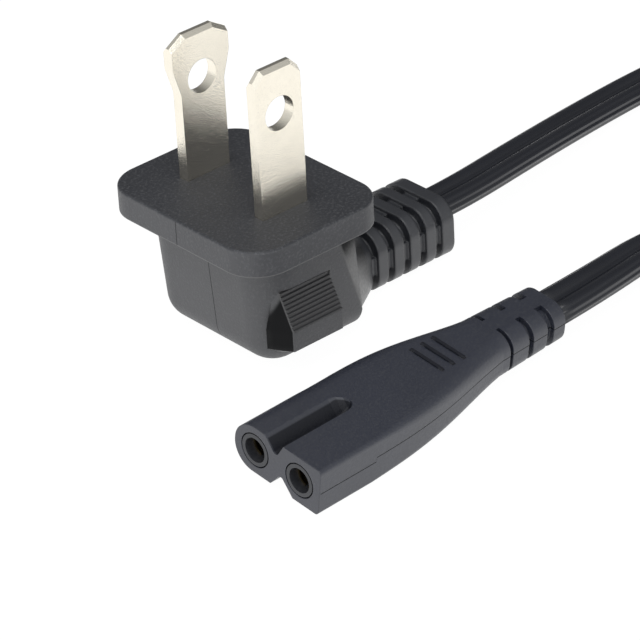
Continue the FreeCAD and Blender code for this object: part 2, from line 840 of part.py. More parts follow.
def make_insert():
    """The moulded insert: two sleeves, flush with the face, on one plate."""
    body = new_body("contact_insert")
    half_pitch = S.pin_pitch / 2
    sleeves = new_sketch(body, "sleeve_outline", "YZ_Plane")
    draw_circle(sleeves, -half_pitch, 0, S.sleeve_radius)
    draw_circle(sleeves, half_pitch, 0, S.sleeve_radius)
    pad(body, "sleeves", sleeves, S.insert_length)
    half_wide = half_pitch + S.sleeve_radius
    half_tall = S.insert_plate_height / 2
    corners = box_corners(-half_wide, half_wide, -half_tall, half_tall, S.sleeve_radius / 2)
    plate = loop_sketch(body, "insert_plate_outline", "YZ_Plane", S.insert_length - S.insert_plate, corners)
    pad(body, "insert_plate", plate, S.insert_plate)
    bores = new_sketch(body, "sleeve_bore_outline", "YZ_Plane", S.insert_length)
    draw_circle(bores, -half_pitch, 0, S.sleeve_bore)
    draw_circle(bores, half_pitch, 0, S.sleeve_bore)
    pocket(body, "sleeve_bores", bores, S.insert_length)
    return body


def make_contact(label, side):
    """A turned tubular contact with spring slits in front and a crimp barrel behind."""
    body = new_body(label)
    middle = side * S.pin_pitch / 2
    half = new_sketch(body, f"{label}_section", "XZ_Plane", -middle)
    front = S.contact_setback
    draw_loop(half, [
        (front, S.contact_bore, None),
        (front + S.contact_bore_length, S.contact_bore, None),
        (front + S.contact_bore_length, 0, None),
        (S.contact_end, 0, None),
        (S.contact_end, S.strand_radius, None),
        (contact_crimp_end, S.strand_radius, None),
        (contact_crimp_end, S.crimp_radius, None),
        (S.insert_length, S.crimp_radius, None),
        (S.insert_length, S.sleeve_bore, None),
        (front, S.sleeve_bore, None),
    ])
    turned = body.newObject("PartDesign::Revolution", f"{label}_turned")
    turned.Profile = half
    turned.ReferenceAxis = (half, ["H_Axis"])
    turned.Angle = 360
    doc.recompute()
    half_slit = S.contact_slit / 2
    corners = box_corners(front, front + S.contact_slit_length, middle - half_slit, middle + half_slit)
    slit = loop_sketch(body, f"{label}_slit_outline", "XY_Plane", 0, corners)
    pocket(body, f"{label}_slit", slit, S.sleeve_bore * 3, symmetric=True)
    return body


def make_route(points):
    """Straight runs joined by tangent arcs as large as the runs allow."""
    edges = []
    radii = []
    start = points[0]
    for before, corner, after in zip(points, points[1:], points[2:]):
        to_before = (before - corner)
        to_after = (after - corner)
        reach = ARC_SHARE * min(to_before.Length, to_after.Length)
        turn = math.pi - to_before.getAngle(to_after)
        radius = reach / math.tan(turn / 2)
        radii.append(radius)
        entry = corner + to_before.normalize() * reach
        leave = corner + to_after.normalize() * reach
        towards = (entry + leave) / 2 - corner
        centre_gap = math.hypot(radius, reach)
        middle = corner + towards.normalize() * (centre_gap - radius)
        edges.append(Part.LineSegment(start, entry).toShape())
        edges.append(Part.Arc(entry, middle, leave).toShape())
        start = leave
    edges.append(Part.LineSegment(start, points[-1]).toShape())
    return Part.Wire(edges), radii


def flat_section(spot, along):
    """The flat cord's section, standing across a direction with its broad side level."""
    across = Vector(0, 0, 1).cross(along).normalize()
    upright = along.cross(across).normalize()
    half_wide = S.cord_width.value / 2
    half_thick = S.cord_thickness.value / 2
    core = half_wide - half_thick
    left = spot - across * core
    right = spot + across * core
    edges = [
        Part.LineSegment(left + upright * half_thick, right + upright * half_thick).toShape(),
        Part.Arc(
            right + upright * half_thick, right + across * half_thick, right - upright * half_thick
        ).toShape(),
        Part.LineSegment(right - upright * half_thick, left - upright * half_thick).toShape(),
        Part.Arc(
            left - upright * half_thick, left - across * half_thick, left + upright * half_thick
        ).toShape(),
    ]
    return Part.Wire(edges)


def make_run(label, points):
    """A plain solid along one loose stretch of the cord."""
    wire, radii = make_route(points)
    sweep = Part.BRepOffsetAPI.MakePipeShell(wire)
    sweep.setBiNormalMode(Vector(0, 0, 1))
    sweep.add(flat_section(points[0], points[1] - points[0]))
    sweep.build()
    sweep.makeSolid()
    run = doc.addObject("Part::Feature", label)
    run.Label = label
    run.Shape = sweep.shape()
    half_thick = S.cord_thickness.value / 2
    section = 4 * half_thick * (S.cord_width.value / 2 - half_thick) + math.pi * half_thick**2
    share = run.Shape.Volume / (section * wire.Length)
    print(label, "length", round(wire.Length, 1), "radii", [round(r, 1) for r in radii])
    print(label, "volume over section times length", round(share, 4))
    return run


def make_coil():
    """The outer shape of the put-away coil, with the two leads that come out of it."""
    body = new_body("coil_solid")
    inner = S.coil_radius - S.coil_band / 2
    outer = S.coil_radius + S.coil_band / 2
    corners = box_corners(-outer, -inner, 0, S.coil_height, S.coil_round)
    ring = loop_sketch(body, "coil_section", "XZ_Plane", 0, corners)
    turned = body.newObject("PartDesign::Revolution", "coil_turns")
    turned.Profile = ring
    turned.ReferenceAxis = (ring, ["V_Axis"])
    turned.Angle = 360
    doc.recompute()
    half_wide = S.cord_width / 2
    half_thick = S.cord_thickness / 2
    lead_corners = box_corners(
        lead_offset - half_wide, lead_offset + half_wide, 0, S.cord_thickness, half_thick * EDGE_SHARE
    )
    lead = loop_sketch(body, "coil_lead_outline", "YZ_Plane", 0, lead_corners)
    first = pad(body, "coil_lead", lead, S.coil_lead, reverse=True)
    mirror(body, "coil_leads", [first], "XZ_Plane")
    place(body, S.coil_centre_x, S.coil_centre_y, floor)
    return body


def make_tie():
    """A strap round the coil's section, partly sunk between its turns."""
    body = new_body("coil_tie")
    inner = S.coil_radius - S.coil_band / 2
    outer = S.coil_radius + S.coil_band / 2
    proud = S.tie_thickness - S.tie_sink
    outside = box_corners(inner - proud, outer + proud, 0, S.coil_height + proud, S.coil_round)
    inside = box_corners(
        inner + S.tie_sink,
        outer - S.tie_sink,
        S.tie_thickness,
        S.coil_height - S.tie_sink,
        S.coil_round - S.tie_sink,
    )
    strap = loop_sketch(body, "tie_outline", "XZ_Plane", 0, outside)
    pad(body, "tie_blank", strap, S.tie_width, symmetric=True)
    window = loop_sketch(body, "tie_window_outline", "XZ_Plane", 0, inside)
    pocket(body, "tie_window", window, S.tie_width * 2, symmetric=True)
    place(body, S.coil_centre_x, S.coil_centre_y, floor)
    return body


# Plug
line_blade = make_blade("line_blade", -1, S.blade_width, S.blade_width)
neutral_blade = make_blade("neutral_blade", 1, S.neutral_stem_width, S.head_width)
core_spread = S.blade_pitch / 2 - barrel_offset
plug_cord_end = make_cord_end(
    "plug_cord_end", S.core_split, core_spread, barrel_end, relief_end, cord_level
)
strand_start = S.tail_width / 2
plug_line_strands = make_strands("plug_line_strands", strand_start, barrel_end, -core_spread, cord_level)
plug_neutral_strands = make_strands("plug_neutral_strands", strand_start, barrel_end, core_spread, cord_level)
plug_pieces = [line_blade, neutral_blade, plug_cord_end, plug_line_strands, plug_neutral_strands]
plug_body = carve("plug_body", make_plug_solid(), plug_pieces)

# Connector
contact_insert = make_insert()
line_contact = make_contact("line_contact", -1)
neutral_contact = make_contact("neutral_contact", 1)
pin_offset = S.pin_pitch / 2
connector_cord_end = make_cord_end(
    "connector_cord_end", S.connector_core_split, pin_offset, contact_crimp_end, connector_end, as_size(0)
)
connector_line_strands = make_strands(
    "connector_line_strands", S.contact_end, contact_crimp_end, -pin_offset, as_size(0)
)
connector_neutral_strands = make_strands(
    "connector_neutral_strands", S.contact_end, contact_crimp_end, pin_offset, as_size(0)
)
connector_pieces = [
    contact_insert,
    line_contact,
    neutral_contact,
    connector_cord_end,
    connector_line_strands,
    connector_neutral_strands,
]
connector_solid = make_connector_solid()
for piece in connector_pieces + [connector_solid]:
    place(piece, S.connector_face_x, S.connector_axis_y, connector_level, S.connector_yaw, S.connector_roll)
connector_body = carve("connector_body", connector_solid, connector_pieces)

# Cord
coil_tie = make_tie()
cord_coil = carve("cord_coil", make_coil(), [coil_tie])


def route_points(start, heading, first_length, stops, side):
    """Corners of a loose run, from a strain relief to a lead of the coil."""
    level = floor.value
    lead = S.coil_centre_x.value - S.coil_lead.value
    lead_y = S.coil_centre_y.value + side * lead_offset.value
    lead_z = level + S.cord_thickness.value / 2
    points = [start, start + heading * first_length]
    points += [Vector(x, y, level + height) for x, y, height in stops]
    points.append(Vector(lead - COIL_RUN_END, lead_y, lead_z))
    points.append(Vector(lead, lead_y, lead_z))
    return points


plug_exit = Vector(relief_end.value, 0, cord_level.value)
plug_points = route_points(plug_exit, Vector(1, 0, 0), PLUG_RUN_START, PLUG_ROUTE, 1)
cord_plug_run = make_run("cord_plug_run", plug_points)
yaw = math.radians(S.connector_yaw.value)
connector_heading = Vector(math.cos(yaw), math.sin(yaw), 0)
connector_face = Vector(S.connector_face_x.value, S.connector_axis_y.value, connector_level.value)
connector_exit = connector_face + connector_heading * connector_end.value
connector_points = route_points(
    connector_exit, connector_heading, CONNECTOR_RUN_START, CONNECTOR_ROUTE, -1
)
cord_connector_run = make_run("cord_connector_run", connector_points)
doc.recompute()

# Checks and export
nodes = [plug_body] + plug_pieces
nodes += [cord_plug_run, cord_coil, coil_tie, cord_connector_run]
nodes += [connector_body] + connector_pieces
for item in doc.Objects:
    if "Invalid" in item.State or "Error" in item.State:
        raise RuntimeError(f"{item.Label} did not build")
os.makedirs("parts", exist_ok=True)
for node in nodes:
    shape = node.Shape
    if shape.isNull() or not shape.isValid() or len(shape.Solids) != 1:
        raise RuntimeError(f"{node.Label} is not one sound solid")
    shape.exportStep(f"parts/{node.Label}.step")
    print(node.Label, "volume", round(shape.Volume, 2), "mm3")
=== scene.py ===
import math

import bpy
from mathutils import Matrix, Vector


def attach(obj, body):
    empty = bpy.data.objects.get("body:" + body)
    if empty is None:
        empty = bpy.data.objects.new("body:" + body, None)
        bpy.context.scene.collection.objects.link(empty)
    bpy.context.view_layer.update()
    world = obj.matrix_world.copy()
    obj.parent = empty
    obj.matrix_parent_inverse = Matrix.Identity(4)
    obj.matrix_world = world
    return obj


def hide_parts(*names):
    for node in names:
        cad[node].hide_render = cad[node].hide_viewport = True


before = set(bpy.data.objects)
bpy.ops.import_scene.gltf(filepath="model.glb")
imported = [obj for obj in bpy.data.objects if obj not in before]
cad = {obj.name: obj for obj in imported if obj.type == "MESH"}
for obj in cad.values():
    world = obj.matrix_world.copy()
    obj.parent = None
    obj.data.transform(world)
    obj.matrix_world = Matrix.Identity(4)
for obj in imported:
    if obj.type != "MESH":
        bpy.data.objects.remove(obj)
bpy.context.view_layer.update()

MM = 0.001
FLOOR = -17.9
BODY = "root"
scene = bpy.context.scene

# Camera, fitted to the photo: radians and millimetres
AZIMUTH = -0.70078
ELEVATION = 0.53716
ROLL = -0.05778
SHIFT_RIGHT = 8.4069
SHIFT_UP = -14.24675
DISTANCE = 435.45291
LENS = 225
SENSOR_WIDTH = 36

# Plug: where its finishes, painted light and painted shade begin and end, millimetres
FLANGE_BOTTOM = (-3.2, -3.1)
FLANGE_TOP = (-0.3, -0.05)
SHOULDER_LEAN = 0.35
SHOULDER_EDGE = (2.3, 3.4)
SHOULDER_BEND = (1.4, 4.4)
SHOULDER_BEND_TOP = (-4.6, -3.8)
NECK_RISE = (-9.5, -5.5)
NECK_END = (10.5, 11.5)
RELIEF_START = (11.5, 12.5)
RELIEF_RIBS = (13.6, 13.8)
THUMB_SIDES = (-4.05, 3.05)
THUMB_HEIGHT = (-11.6, -7.25)
THUMB_FACE = (-9.0, -8.9)
CORNER_AXIS = (-2.05, -6.1)
FLANK_LEAN = 0.07
FLANK_EDGE = (4.82, 5.2)
FLANK_REACH = (-7.0, -6.9)
PLUG_SEAM_STEP = (-3.12, -3.08)
PLUG_SEAM_PLACES = (-1.0, 0.05)
PLUG_SEAM_HALF = 0.06
PLUG_SEAM_REACH = (-5.2, -5.0)
PLUG_SEAM_TOP = (-0.2, -0.1)
# Painted highlight: the heights of a light line painted along the flange's lower edge
PAINTED_HIGHLIGHT_LINE = (-3.1, -2.98)

# Connector: where it lies and where its marks are, millimetres from the middle of its face
CONNECTOR_FACE = (-20.0, -27.2, -14.237)
CONNECTOR_YAW = math.radians(2.7)
CONNECTOR_ROLL = math.radians(8.3)
PARTING_STEP = (8.25, 8.35)
PARTING_HEIGHTS = (-0.05, 0.5)
PARTING_HALF = 0.07
PARTING_START = (0.1, 0.2)
SQUARE_SIDE = (-2.6, -2.4)
STROKE_START = 22.0
STROKE_SPACING = 1.65
STROKE_EDGE = (0.18, 0.32)
STROKE_RUN = (21.5, 25.9)
STROKE_HALF = 2.5
STROKE_LEVEL = (2.4, 2.5)
GROOVE_LENGTH = (0.15, 13.0)
GROOVE_HALF = 1.7
GROOVE_HEIGHT = (0.5, 2.65)
ROUNDED_FROM = (1.7, 2.0)

# Cord: flat twin lead, millimetres, with the ridges' reach in radians from its outer side
CORD_THICKNESS = 2.6
LEAD_RADIUS = CORD_THICKNESS / 2
LEAD_STEPS = 44
WEB_HALF = 0.85
RIDGES = 10
RIDGE_DEPTH = 0.16
RIDGE_REACH = 1.2
RIDGE_FADE = 0.3
CURVE_STEPS = 6

# Cord's route: x, y and the height over the floor, millimetres
PLUG_ROUTE = [
    (26.35, 0.0, 4.55),
    (31.55, 0.0, 4.55),
    (43.5, 2.2, 3.9),
    (56.5, 5.3, 2.4),
    (71.0, 7.6, 1.3),
    (87.0, 7.0, 1.3),
    (101.0, 7.0, 1.3),
]
CONNECTOR_ROUTE = [
    (20.455, -25.292, 3.663),
    (27.847, -24.944, 3.663),
    (43.0, -21.8, 2.3),
    (55.9, -25.0, 1.3),
    (66.4, -34.1, 1.3),
    (74.8, -47.1, 1.3),
    (87.0, -53.8, 1.3),
    (101.0, -53.8, 1.3),
]

# Coil: millimetres, and turns counted from where the cord comes in
COIL_CENTRE = (123.0, -23.4)
COIL_LEAD = 22.0
COIL_RADIUS = 30.4
TURN_PITCH = 2.66
LAYER_LOW = 2.62
LAYER_HIGH = 7.9
LOW_END = 3.0
CLIMB_END = 3.25
HIGH_END = 7.0
COIL_TURNS = 7.5
LAST_STEP_IN = 0.5
POINTS_PER_TURN = 16

# Floor and light: metres, watts and levels where 1 is white
FLOOR_HALF = 3.0
FLOOR_COLOUR = (0.86, 0.86, 0.86)
FLOOR_GLOW = 1.08
GLOW_SHARE = 0.9
DOME_COLOUR = (0.98, 0.99, 1.0)
DOME_BRIGHT = 1.15
DOME_DIM = 0.15
DOME_DIM_SIDE = (0.8, 0.6, 0.0)
DOME_DIM_FROM = 0.8
LAMP_SPOT = (-0.25, -0.15, 0.85)
LAMP_SIZE = 0.6
LAMP_WATTS = 2.0


def link(obj):
    scene.collection.objects.link(obj)
    return obj


def smooth(x):
    x = min(max(x, 0.0), 1.0)
    return x * x * (3 - 2 * x)


# Camera

def add_camera():
    back = Vector((
        math.sin(AZIMUTH) * math.cos(ELEVATION),
        -math.cos(AZIMUTH) * math.cos(ELEVATION),
        math.sin(ELEVATION),
    ))
    right = Vector((0, 0, 1)).cross(back).normalized()
    up = back.cross(right)
    side = right * math.cos(ROLL) + up * math.sin(ROLL)
    top = up * math.cos(ROLL) - right * math.sin(ROLL)
    data = bpy.data.cameras.new("camera")
    data.sensor_width = SENSOR_WIDTH
    data.lens = LENS
    data.clip_start = 0.01
    camera = link(bpy.data.objects.new("camera", data))
    spot = (side * SHIFT_RIGHT + top * SHIFT_UP + back * DISTANCE) * MM
    turn = Matrix((side, top, back)).transposed().to_4x4()
    camera.matrix_world = Matrix.Translation(spot) @ turn
    scene.camera = camera


add_camera()


# Materials

class Nodes:
    """A material's node tree, with short calls for the nodes that the finishes share."""

    def __init__(self, name):
        self.material = bpy.data.materials.new(name)
        self.material.use_nodes = True
        self.tree = self.material.node_tree
        self.shader = self.tree.nodes["Principled BSDF"]
        self.output = self.tree.nodes["Material Output"]
        self.place = self.tree.nodes.new("ShaderNodeTexCoord").outputs["Object"]

    def join(self, source, target):
        self.tree.links.new(source, target)

    def put(self, target, value):
        if isinstance(value, bpy.types.NodeSocket):
            self.join(value, target)
        else:
            target.default_value = value

    def put_colour(self, target, colour):
        if isinstance(colour, bpy.types.NodeSocket):
            self.join(colour, target)
        else:
            target.default_value = (*colour, 1.0)

    def measure_from(self, spot, roll, yaw):
        """Counts places from a spot, along axes turned by roll and yaw."""
        mapping = self.tree.nodes.new("ShaderNodeMapping")
        mapping.vector_type = "TEXTURE"
        self.join(self.place, mapping.inputs["Vector"])
        mapping.inputs["Location"].default_value = spot
        mapping.inputs["Rotation"].default_value = (roll, 0.0, yaw)
        self.place = mapping.outputs["Vector"]

    def axes(self):
        """The place's x, y and z in millimetres."""
        node = self.tree.nodes.new("ShaderNodeSeparateXYZ")
        self.join(self.place, node.inputs["Vector"])
        return [self.math("DIVIDE", node.outputs[letter], MM) for letter in "XYZ"]

    def soft_edges(self, radius):
        node = self.tree.nodes.new("ShaderNodeBevel")
        node.samples = 6
        self.put(node.inputs["Radius"], radius)
        return node.outputs["Normal"]

    def scaled(self, scale):
        mapping = self.tree.nodes.new("ShaderNodeMapping")
        self.join(self.place, mapping.inputs["Vector"])
        mapping.inputs["Scale"].default_value = scale
        return mapping.outputs["Vector"]

    def noise(self, scale, detail=2.0, roughness=0.5):
        """Noise with a size given in features per metre, even or along each axis."""
        node = self.tree.nodes.new("ShaderNodeTexNoise")
        if isinstance(scale, tuple):
            self.join(self.scaled(scale), node.inputs["Vector"])
            node.inputs["Scale"].default_value = 1.0
        else:
            self.join(self.place, node.inputs["Vector"])
            node.inputs["Scale"].default_value = scale
        node.inputs["Detail"].default_value = detail
        node.inputs["Roughness"].default_value = roughness
        return node.outputs["Fac"]

    def cells(self, scale):
        node = self.tree.nodes.new("ShaderNodeTexVoronoi")
        self.join(self.place, node.inputs["Vector"])
        node.inputs["Scale"].default_value = scale
        return node.outputs["Distance"]

    def math(self, operation, a, b=0.0):
        node = self.tree.nodes.new("ShaderNodeMath")
        node.operation = operation
        self.put(node.inputs[0], a)
        self.put(node.inputs[1], b)
        return node.outputs["Value"]

    def times(self, first, *others):
        for other in others:
            first = self.math("MULTIPLY", first, other)
        return first

    def most(self, first, *others):
        for other in others:
            first = self.math("MAXIMUM", first, other)
        return first

    def ramp(self, value, low, high, start=0.0, end=1.0):
        """A value that runs from start to end as another runs from low to high."""
        node = self.tree.nodes.new("ShaderNodeMapRange")
        node.interpolation_type = "SMOOTHSTEP"
        self.put(node.inputs["Value"], value)
        node.inputs["From Min"].default_value = low
        node.inputs["From Max"].default_value = high
        node.inputs["To Min"].default_value = start
        node.inputs["To Max"].default_value = end
        return node.outputs["Result"]

    def fall(self, value, low, high):
        """1 below low, 0 above high."""
        return self.ramp(value, low, high, 1.0, 0.0)

    def band(self, value, low, high, edge):
        """1 while a value is between low and high, 0 outside, with soft edges."""
        rise = self.ramp(value, low - edge, low + edge)
        return self.times(rise, self.fall(value, high - edge, high + edge))

    def blend(self, factor, a, b):
        node = self.tree.nodes.new("ShaderNodeMix")
        node.data_type = "RGBA"
        self.put(node.inputs["Factor"], factor)
        for key, colour in (("A", a), ("B", b)):
            socket = next(s for s in node.inputs if s.name == key and s.type == "RGBA")
            self.put_colour(socket, colour)
        return next(s for s in node.outputs if s.type == "RGBA")

    def bump(self, height, depth, strength=1.0, under=None):
        node = self.tree.nodes.new("ShaderNodeBump")
        node.inputs["Distance"].default_value = depth
        self.put(node.inputs["Strength"], strength)
        self.join(height, node.inputs["Height"])
        if under is not None:
            self.join(under, node.inputs["Normal"])
        return node.outputs["Normal"]

    def finish(self, colour, roughness, normal=None, metallic=0.0, specular=0.5):
        inputs = self.shader.inputs
        self.put_colour(inputs["Base Color"], colour)
        self.put(inputs["Roughness"], roughness)
        inputs["Metallic"].default_value = metallic
        self.put(inputs["Specular IOR Level"], specular)
        if normal is not None:
            self.join(normal, inputs["Normal"])
        return self.material


def grip_flank(n, x, y, z):
    """The flank of the thumb grip, which stands proud of the housing's rounded corner."""
    corner_x, corner_y = CORNER_AXIS
    aside = n.math("MINIMUM", n.math("SUBTRACT", x, corner_x), 0.0)
    ahead = n.math("SUBTRACT", y, corner_y)
    squares = n.math("ADD", n.math("POWER", aside, 2.0), n.math("POWER", ahead, 2.0))
    proud = n.math("SUBTRACT", n.math("SQRT", squares), n.times(z, FLANK_LEAN))
    return n.times(n.ramp(proud, *FLANK_EDGE), n.fall(y, *FLANK_REACH))


def plug_seam(n, x, y, z):
    """The parting line on the plug's end, a step aside below the flange."""
    place = n.ramp(z, *PLUG_SEAM_STEP, *PLUG_SEAM_PLACES)
    line = n.band(n.math("SUBTRACT", y, place), -PLUG_SEAM_HALF, PLUG_SEAM_HALF, 0.04)
    return n.times(line, n.fall(x, *PLUG_SEAM_REACH), n.fall(z, *PLUG_SEAM_TOP))


def plug_plastic():
    """Grained charcoal on flange and housing, with painted light lightening the housing's walls below the
    flange and a painted highlight line along the flange's lower edge; smooth black on shoulders, strain
    relief and grip flanks, with painted shade cutting the sheen on the flange top, the neck top and the
    grip flanks.
    """
    n = Nodes("plug_plastic")
    x, y, z = n.axes()
    under_flange = n.fall(z, *FLANGE_BOTTOM)
    slant = n.math("ADD", x, n.times(z, SHOULDER_LEAN))
    shoulder = n.times(n.ramp(slant, *SHOULDER_EDGE), under_flange)
    at_thumb = n.band(x, *THUMB_SIDES, 0.04)
    thumb = n.times(at_thumb, n.band(z, *THUMB_HEIGHT, 0.04), n.fall(y, *THUMB_FACE))
    flank = n.times(grip_flank(n, x, y, z), under_flange, n.math("SUBTRACT", 1.0, at_thumb))
    plain = n.most(shoulder, flank, thumb)
    seam = plug_seam(n, x, y, z)
    painted_highlight = n.band(z, *PAINTED_HIGHLIGHT_LINE, 0.03)

    grain = n.noise(3000, detail=3, roughness=0.6)
    cloud = n.noise(140, detail=3)
    relief = n.ramp(x, *RELIEF_START)
    black = n.blend(relief, (0.006, 0.0063, 0.0076), (0.023, 0.025, 0.0315))
    colour = n.blend(n.ramp(cloud, 0.35, 0.65), (0.0330, 0.0345, 0.0405), (0.0390, 0.0405, 0.0470))
    colour = n.blend(n.ramp(grain, 0.45, 0.75, 0.0, 0.7), colour, (0.105, 0.107, 0.115))
    # Painted light: the walls below the flange are blended 14% towards light grey, so the housing's side
    # faces read lighter than the flange top.
    colour = n.blend(n.times(under_flange, 0.14), colour, (0.105, 0.105, 0.105))
    colour = n.blend(thumb, colour, (0.034, 0.034, 0.036))
    colour = n.blend(shoulder, colour, black)
    # The grip flank takes the shoulders' smooth black; its sheen is cut further down as painted shade, so
    # it stays near-black.
    colour = n.blend(flank, colour, (0.0060, 0.0062, 0.0070))
    colour = n.blend(n.times(seam, 0.8), colour, (0.005, 0.005, 0.006))
    # Painted highlight: a light grey line painted just above the flange's lower edge.
    colour = n.blend(n.times(painted_highlight, 0.7), colour, (0.16, 0.16, 0.16))

    rough = n.math("SUBTRACT", n.ramp(grain, 0.3, 0.7, 0.46, 0.58), n.times(plain, 0.16))
    # Painted shade: the sheen is cut on the neck top, the flange top and the grip flanks so these faces
    # read darker; on the parting line the cut is the seam's own dull finish.
    neck = n.times(shoulder, n.ramp(z, *NECK_RISE, 0.0, 0.92), n.fall(x, *NECK_END))
    flange_top = n.ramp(z, *FLANGE_TOP, 0.0, 0.5)
    sheen_cut_for_seam_and_shade = n.most(n.times(flank, 0.78), n.times(seam, 0.7), neck, flange_top)
    bend = n.times(n.band(slant, *SHOULDER_BEND, 0.5), n.fall(z, *SHOULDER_BEND_TOP))
    edge = n.ramp(x, *RELIEF_RIBS, 0.15 * MM, 0.4 * MM)
    edge = n.math("ADD", edge, n.times(n.most(bend, flank), 0.8 * MM))
    grain_strength = n.ramp(plain, 0.0, 1.0, 1.0, 0.1)
    normal = n.bump(grain, 0.06 * MM, grain_strength, under=n.soft_edges(edge))
    return n.finish(colour, rough, normal, specular=n.fall(sheen_cut_for_seam_and_shade, 0.0, 1.0))


def connector_plastic():
    """Blue-black satin with a faint spark-eroded grain and a stepped parting line, with painted shade
    darkening the raised strokes and the top groove and cutting their sheen.
    """
    n = Nodes("connector_plastic")
    n.measure_from([value * MM for value in CONNECTOR_FACE], CONNECTOR_ROLL, CONNECTOR_YAW)
    x, y, z = n.axes()
    parting = n.math("SUBTRACT", z, n.ramp(x, *PARTING_STEP, *PARTING_HEIGHTS))
    seam = n.band(parting, -PARTING_HALF, PARTING_HALF, 0.04)
    seam = n.times(seam, n.fall(y, *SQUARE_SIDE), n.ramp(x, *PARTING_START))
    # Painted shade: the three raised strokes on top are painted dark, as if shaded.
    from_stroke = n.math("PINGPONG", n.math("SUBTRACT", x, STROKE_START), STROKE_SPACING / 2)
    stroke = n.times(
        n.fall(from_stroke, *STROKE_EDGE),
        n.band(x, *STROKE_RUN, 0.05),
        n.band(y, -STROKE_HALF, STROKE_HALF, 0.1),
        n.ramp(z, *STROKE_LEVEL),
    )
    # Painted shade: the top groove along the nose is painted dark, as shade inside the recess.
    groove = n.times(
        n.band(z, *GROOVE_HEIGHT, 0.08),
        n.band(y, -GROOVE_HALF, GROOVE_HALF, 0.1),
        n.band(x, *GROOVE_LENGTH, 0.1),
    )
    # The parting line is darkened as a dark joint; the strokes and the groove are darkened as painted
    # shade, and their sheen is cut with them.
    seam_and_painted_shade = n.most(n.times(seam, 0.8), n.times(stroke, 0.6), n.times(groove, 0.65))

    grain = n.noise(3600, detail=3, roughness=0.6)
    cloud = n.noise(120, detail=2)
    colour = n.blend(n.ramp(cloud, 0.3, 0.7), (0.0165, 0.0198, 0.034), (0.0205, 0.0240, 0.040))
    colour = n.blend(n.ramp(grain, 0.45, 0.75, 0.0, 0.5), colour, (0.045, 0.048, 0.057))
    colour = n.blend(seam_and_painted_shade, colour, (0.003, 0.003, 0.0035))

    edge = n.ramp(n.math("ABSOLUTE", y), *ROUNDED_FROM, 0.0, 0.18 * MM)
    normal = n.bump(grain, 0.035 * MM, 0.7, under=n.soft_edges(edge))
    normal = n.bump(seam, -0.05 * MM, 0.6, under=normal)
    rough = n.ramp(grain, 0.3, 0.7, 0.36, 0.48)
    return n.finish(colour, rough, normal, specular=n.ramp(seam_and_painted_shade, 0.0, 1.0, 1.0, 0.1))


def cord_plastic():
    n = Nodes("cord_plastic")
    fine = n.noise(2600, detail=2)
    cloud = n.noise(90, detail=2)
    colour = n.blend(n.ramp(cloud, 0.3, 0.7), (0.0105, 0.0118, 0.0175), (0.0130, 0.0145, 0.0210))
    rough = n.ramp(fine, 0.3, 0.7, 0.20, 0.28)
    return n.finish(colour, rough, n.bump(fine, 0.02 * MM, 0.35), specular=0.6)


def blade_metal():
    """Nickel plate with a fine even grain and a few soft handling marks."""
    n = Nodes("blade_metal")
    grain = n.noise(10000, detail=1)
    marks = n.noise(420, detail=4, roughness=0.65)
    colour = n.blend(n.ramp(marks, 0.35, 0.75), (0.98, 0.925, 0.80), (0.955, 0.90, 0.775))
    rough = n.math("ADD", n.ramp(grain, 0.3, 0.7, 0.12, 0.19), n.ramp(marks, 0.5, 0.8, 0.0, 0.04))
    normal = n.bump(grain, 0.024 * MM, 1.0, under=n.soft_edges(0.08 * MM))
    return n.finish(colour, rough, normal, metallic=1.0)


def contact_metal():
    """Dull brass, turned across its length."""
    n = Nodes("contact_metal")
    turned = n.noise((7000, 900, 900), detail=2)
    colour = n.blend(n.ramp(turned, 0.3, 0.7), (0.20, 0.155, 0.080), (0.28, 0.215, 0.115))
    rough = n.ramp(turned, 0.3, 0.7, 0.25, 0.38)
    return n.finish(colour, rough, n.bump(turned, 0.01 * MM, 0.4), metallic=1.0)


def copper():
    """Bare strands laid along the core."""
    n = Nodes("copper_strands")
    lay = n.noise((500, 5200, 5200), detail=2)
    colour = n.blend(n.ramp(lay, 0.35, 0.65), (0.55, 0.23, 0.11), (0.80, 0.42, 0.25))
    rough = n.ramp(lay, 0.3, 0.7, 0.25, 0.4)
    return n.finish(colour, rough, n.bump(lay, 0.06 * MM, 0.8), metallic=1.0)


def insert_plastic():
    n = Nodes("insert_plastic")
    fine = n.noise(3000, detail=2)
    colour = n.blend(n.ramp(fine, 0.3, 0.7), (0.034, 0.036, 0.042), (0.042, 0.044, 0.050))
    rough = n.ramp(fine, 0.3, 0.7, 0.32, 0.42)
    return n.finish(colour, rough, n.bump(fine, 0.02 * MM, 0.4))


def tie_strap():
    """Hook-and-loop strap: a short dense pile over a woven back."""
    n = Nodes("tie_strap")
    pile = n.cells(2800)
    drift = n.noise(300, detail=3)
    colour = n.blend(n.ramp(pile, 0.1, 0.6), (0.030, 0.030, 0.031), (0.012, 0.012, 0.013))
    colour = n.blend(n.ramp(drift, 0.4, 0.8, 0.0, 0.4), colour, (0.040, 0.040, 0.042))
    return n.finish(colour, 0.85, n.bump(pile, 0.2 * MM, 0.9), specular=0.25)


